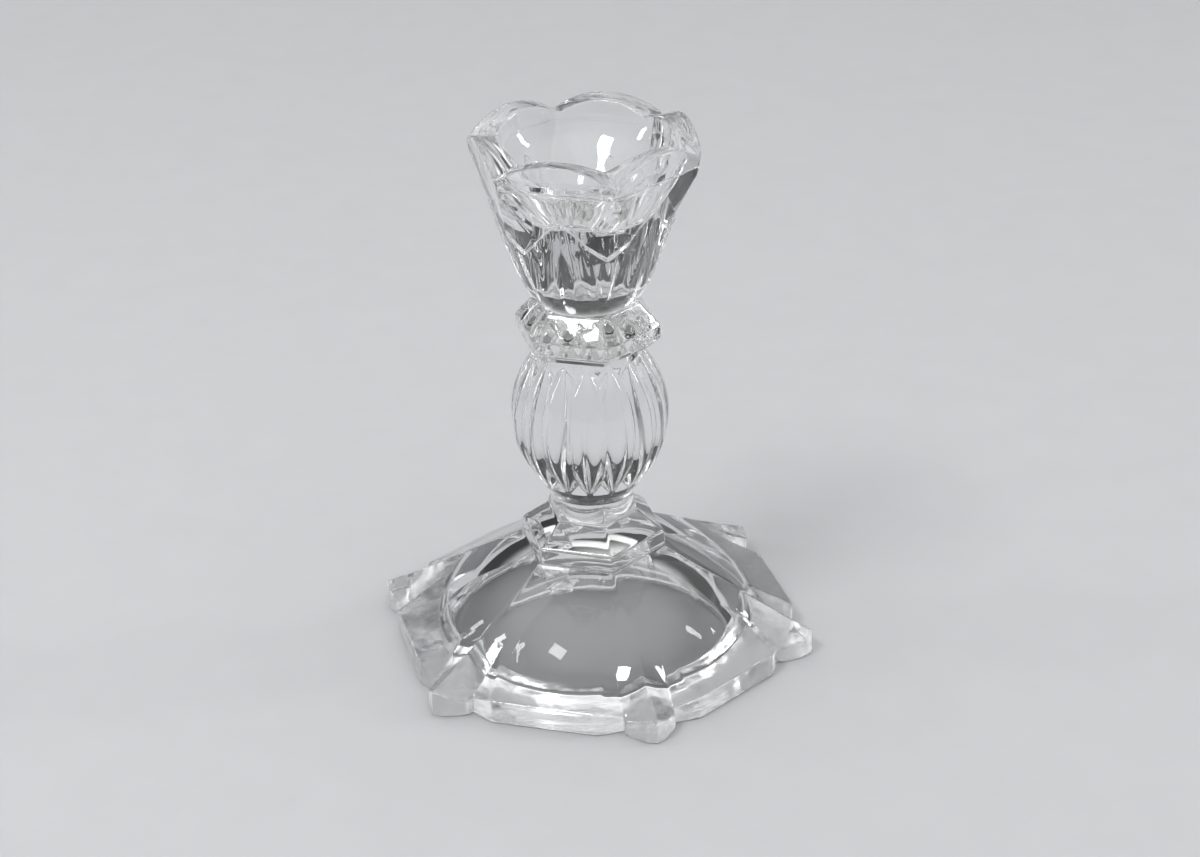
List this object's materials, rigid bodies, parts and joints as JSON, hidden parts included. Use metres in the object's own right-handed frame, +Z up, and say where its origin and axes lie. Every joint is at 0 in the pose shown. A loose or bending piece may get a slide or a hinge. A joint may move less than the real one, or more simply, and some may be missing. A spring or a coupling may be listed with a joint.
{
  "type": "glass candlestick",
  "caption": "Clear pressed-glass candlestick with a petalled tulip cup, round candle socket, hexagonal collar, fluted bulb stem, hexagonal plinth and spreading hexagonal base on finger feet.",
  "frame": {"origin": "middle of the ground face the feet and rim stand on", "axes": "+Z up along the stem; one foot points to -Y and the straight sides face +X and -X"},
  "size_m": [0.1076, 0.1236, 0.1493],
  "materials": {
    "crystal": "clear, fire polished",
    "bond": "clear hardened glass adhesive"
  },
  "bodies": {
    "root": {"candle_cup": "crystal", "cup_bond": "bond", "collar": "crystal", "collar_bond": "bond", "stem": "crystal", "stem_bond": "bond", "plinth": "crystal", "plinth_bond": "bond", "base": "crystal"}
  },
  "joints": []
}
